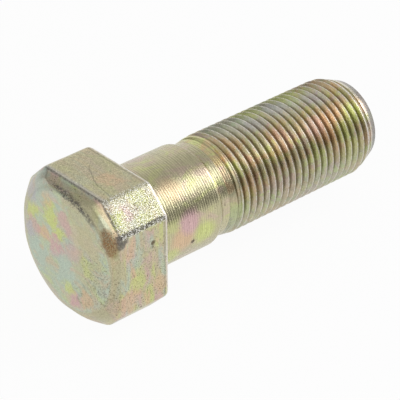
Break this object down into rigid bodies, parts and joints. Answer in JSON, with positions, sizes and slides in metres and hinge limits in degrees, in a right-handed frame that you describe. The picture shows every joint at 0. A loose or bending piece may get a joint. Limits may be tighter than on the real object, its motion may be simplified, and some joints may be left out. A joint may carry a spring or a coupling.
{
  "type": "bolt",
  "caption": "Large fit bolt: square wrench head with flattened corners and a chamfer, turned shank thicker than the fine thread, rounded shoulder and short neck, yellow zinc plated.",
  "frame": {"origin": "centre of the head's bearing face, on the bolt's axis", "axes": "+X along the shank towards the threaded tip; +Z is the outward normal of one wide flat of the head, up when the bolt lies on the opposite flat"},
  "size_m": [0.085, 0.032, 0.032],
  "materials": {
    "zinc_plated_steel": "yellow iridescent zinc passivate, satin, with fine turning lines on the shank and a slightly grainy forged head"
  },
  "bodies": {
    "root": {"bolt": "zinc_plated_steel"}
  },
  "joints": []
}
